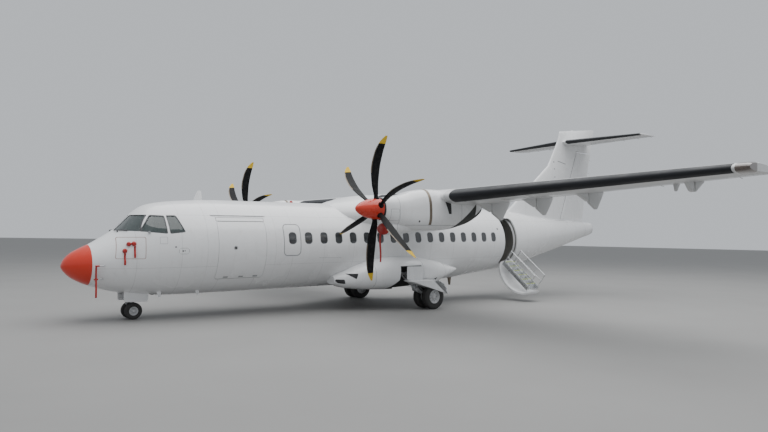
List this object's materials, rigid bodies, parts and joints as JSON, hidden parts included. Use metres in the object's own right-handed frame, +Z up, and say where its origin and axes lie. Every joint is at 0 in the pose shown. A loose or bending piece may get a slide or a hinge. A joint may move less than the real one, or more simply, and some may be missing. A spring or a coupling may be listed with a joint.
{
  "type": "twin turboprop airliner",
  "caption": "High-wing turboprop airliner with a T tail, parked on its wheels with its rear airstair lowered.",
  "frame": {"origin": "on the ground under the middle of the bounding box, with the aircraft standing on its wheels", "axes": "nose towards -X, port side towards -Y, +Z up; the airframe itself stands about 1.1 degrees nose down"},
  "size_m": [22.6707, 24.57, 7.5909],
  "materials": {
    "white_paint": "semi-gloss white enamel, lightly weathered",
    "red_paint": "satin orange-red paint",
    "blade_black": "satin black composite with yellow tips",
    "rubber": "matt black rubber",
    "gear_metal": "grey painted and bare machined alloy",
    "window_glass": "clear laminated glass",
    "interior_grey": "dark grey trim"
  },
  "bodies": {
    "airframe": {"radome": "red_paint", "nose_fuselage": "white_paint", "cockpit_glazing": "window_glass", "cockpit_interior": "interior_grey", "forward_fuselage": "white_paint", "wing_centre": "white_paint", "wing_left": "white_paint", "wing_right": "white_paint", "centre_fuselage": "white_paint", "emergency_exit_left": "white_paint", "emergency_exit_right": "white_paint", "rear_fuselage": "white_paint", "service_door": "white_paint", "tail_cone": "white_paint", "tailplane": "white_paint", "fin": "white_paint", "nacelle_left": "white_paint", "nacelle_right": "white_paint", "engine_left": "gear_metal", "engine_right": "gear_metal", "sponson_left": "white_paint", "sponson_right": "white_paint", "main_leg_left": "gear_metal", "main_leg_right": "gear_metal", "main_gear_door_left": "white_paint", "main_gear_door_right": "white_paint", "nose_leg": "gear_metal", "nose_gear_door_left": "white_paint", "nose_gear_door_right": "white_paint"},
    "cargo_door": {"cargo_door": "white_paint"},
    "airstair": {"airstair_door": "white_paint", "airstair_steps": "gear_metal"},
    "rudder": {"rudder": "white_paint"},
    "elevator_left": {"elevator_left": "white_paint"},
    "elevator_right": {"elevator_right": "white_paint"},
    "aileron_left": {"aileron_left": "white_paint"},
    "aileron_right": {"aileron_right": "white_paint"},
    "flap_inner_left": {"flap_inner_left": "white_paint"},
    "flap_inner_right": {"flap_inner_right": "white_paint"},
    "flap_outer_left": {"flap_outer_left": "white_paint"},
    "flap_outer_right": {"flap_outer_right": "white_paint"},
    "propeller_left": {"spinner_left": "red_paint", "propeller_left": "blade_black"},
    "propeller_right": {"spinner_right": "red_paint", "propeller_right": "blade_black"},
    "main_wheels_left": {"main_tyre_outer_left": "rubber", "main_tyre_inner_left": "rubber", "main_hubs_left": "gear_metal"},
    "main_wheels_right": {"main_tyre_outer_right": "rubber", "main_tyre_inner_right": "rubber", "main_hubs_right": "gear_metal"},
    "nose_fork": {"nose_fork": "gear_metal"},
    "nose_wheels": {"nose_tyre_left": "rubber", "nose_tyre_right": "rubber", "nose_hubs": "gear_metal"}
  },
  "joints": [
    {"name": "cargo_door_hinge", "type": "hinge", "parent": "airframe", "child": "cargo_door", "pos_m": [-7.75699, -1.19081, 2.65427], "axis": [0.9998, 0, 0.019], "range_deg": [-100, 0]},
    {"name": "airstair_hinge", "type": "hinge", "parent": "airframe", "child": "airstair", "pos_m": [3.71967, -0.91928, 1.36008], "axis": [0.9998, 0, 0.019], "range_deg": [-128, 0]},
    {"name": "rudder_turn", "type": "hinge", "parent": "airframe", "child": "rudder", "pos_m": [8.79432, 0, 3.27684], "axis": [0.35, 0, 0.9367], "range_deg": [-27, 27]},
    {"name": "elevator_right_turn", "type": "hinge", "parent": "airframe", "child": "elevator_right", "pos_m": [10.08322, 0.175, 6.77196], "axis": [0.0184, 0.9998, 0.0003], "range_deg": [-23, 13]},
    {"name": "elevator_left_turn", "type": "hinge", "parent": "airframe", "child": "elevator_left", "pos_m": [10.08322, -0.175, 6.77196], "axis": [-0.0184, 0.9998, -0.0003], "range_deg": [-23, 13]},
    {"name": "aileron_right_turn", "type": "hinge", "parent": "airframe", "child": "aileron_right", "pos_m": [-0.76678, 9.16, 3.63615], "axis": [-0.0276, 0.9991, 0.0337], "range_deg": [-14, 14]},
    {"name": "aileron_left_turn", "type": "hinge", "parent": "airframe", "child": "aileron_left", "pos_m": [-0.76678, -9.16, 3.63615], "axis": [0.0276, 0.9991, -0.0337], "range_deg": [-14, 14]},
    {"name": "flap_outer_right_turn", "type": "hinge", "parent": "airframe", "child": "flap_outer_right", "pos_m": [-0.7375, 4.59, 3.1778], "axis": [-0.0219, 0.9984, 0.0514], "range_deg": [0, 35]},
    {"name": "flap_outer_left_turn", "type": "hinge", "parent": "airframe", "child": "flap_outer_left", "pos_m": [-0.7375, -4.59, 3.1778], "axis": [0.0219, 0.9984, -0.0514], "range_deg": [0, 35]},
    {"name": "flap_inner_right_turn", "type": "hinge", "parent": "airframe", "child": "flap_inner_right", "pos_m": [-0.73663, 1.52, 3.17574], "axis": [0, 1, 0], "range_deg": [0, 35]},
    {"name": "flap_inner_left_turn", "type": "hinge", "parent": "airframe", "child": "flap_inner_left", "pos_m": [-0.73663, -1.52, 3.17574], "axis": [0, 1, 0], "range_deg": [0, 35]},
    {"name": "propeller_left_spin", "type": "hinge", "parent": "airframe", "child": "propeller_left", "pos_m": [-4.5139, -4.05, 3.04896], "axis": [0.9998, 0, 0.019], "continuous": true},
    {"name": "propeller_right_spin", "type": "hinge", "parent": "airframe", "child": "propeller_right", "pos_m": [-4.5139, 4.05, 3.04896], "axis": [0.9998, 0, 0.019], "continuous": true},
    {"name": "main_wheels_left_roll", "type": "hinge", "parent": "airframe", "child": "main_wheels_left", "pos_m": [-0.813, -2.05, 0.40154], "axis": [0, 1, 0], "continuous": true},
    {"name": "main_wheels_right_roll", "type": "hinge", "parent": "airframe", "child": "main_wheels_right", "pos_m": [-0.813, 2.05, 0.40154], "axis": [0, 1, 0], "continuous": true},
    {"name": "nose_steering", "type": "hinge", "parent": "airframe", "child": "nose_fork", "pos_m": [-9.591, 0, 0.6], "axis": [0, 0, 1], "range_deg": [-60, 60]},
    {"name": "nose_wheels_roll", "type": "hinge", "parent": "nose_fork", "child": "nose_wheels", "pos_m": [-9.591, 0, 0.22308], "axis": [0, 1, 0], "continuous": true}
  ],
  "couplings": [
    {"joint": "aileron_left_turn", "follows": "aileron_right_turn", "ratio": -1},
    {"joint": "elevator_left_turn", "follows": "elevator_right_turn", "ratio": 1},
    {"joint": "flap_inner_left_turn", "follows": "flap_outer_right_turn", "ratio": 1},
    {"joint": "flap_inner_right_turn", "follows": "flap_outer_right_turn", "ratio": 1},
    {"joint": "flap_outer_left_turn", "follows": "flap_outer_right_turn", "ratio": 1}
  ]
}
